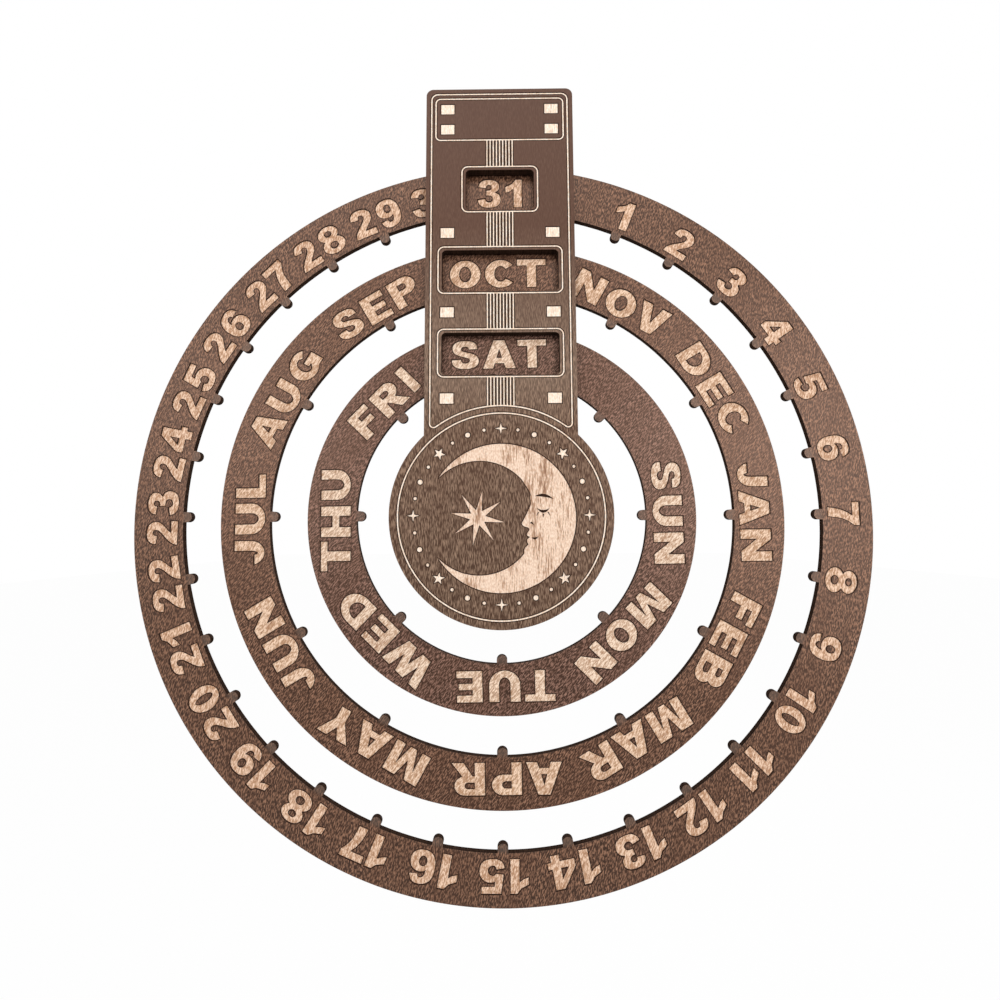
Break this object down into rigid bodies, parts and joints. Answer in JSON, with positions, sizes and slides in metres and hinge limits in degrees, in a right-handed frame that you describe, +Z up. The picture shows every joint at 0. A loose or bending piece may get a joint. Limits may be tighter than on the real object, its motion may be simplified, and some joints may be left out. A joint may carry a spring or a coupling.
{
  "type": "perpetual calendar",
  "caption": "Wall-hung perpetual calendar of thin plywood: concentric date, month and weekday rings turn behind the windows of an upright front plate with a round foot.",
  "frame": {"origin": "the rings' common centre, on the back face that lies against the wall", "axes": "+Z up, +X to the reader's right, -Y out of the wall towards the reader"},
  "size_m": [0.3, 0.009, 0.333],
  "materials": {
    "stained_plywood": "walnut stain, matt, engraved to the pale wood",
    "plain_plywood": "stained edge, matt",
    "zinc_plated_steel": "zinc plated"
  },
  "bodies": {
    "tower": {"front_plate": "stained_plywood", "back_plate": "stained_plywood", "crown_block": "plain_plywood", "date_saddle": "plain_plywood", "month_saddle": "plain_plywood", "disc_block": "plain_plywood", "back_screws": "zinc_plated_steel"},
    "date_ring": {"date_ring": "stained_plywood"},
    "month_ring": {"month_ring": "stained_plywood"},
    "day_ring": {"day_ring": "stained_plywood"}
  },
  "joints": [
    {"name": "date_turn", "type": "hinge", "parent": "tower", "child": "date_ring", "pos_m": [0, -0.0045, 0], "axis": [0, -1, 0], "continuous": true},
    {"name": "month_turn", "type": "hinge", "parent": "tower", "child": "month_ring", "pos_m": [0, -0.0045, 0], "axis": [0, -1, 0], "continuous": true},
    {"name": "day_turn", "type": "hinge", "parent": "tower", "child": "day_ring", "pos_m": [0, -0.0045, 0], "axis": [0, -1, 0], "continuous": true}
  ]
}
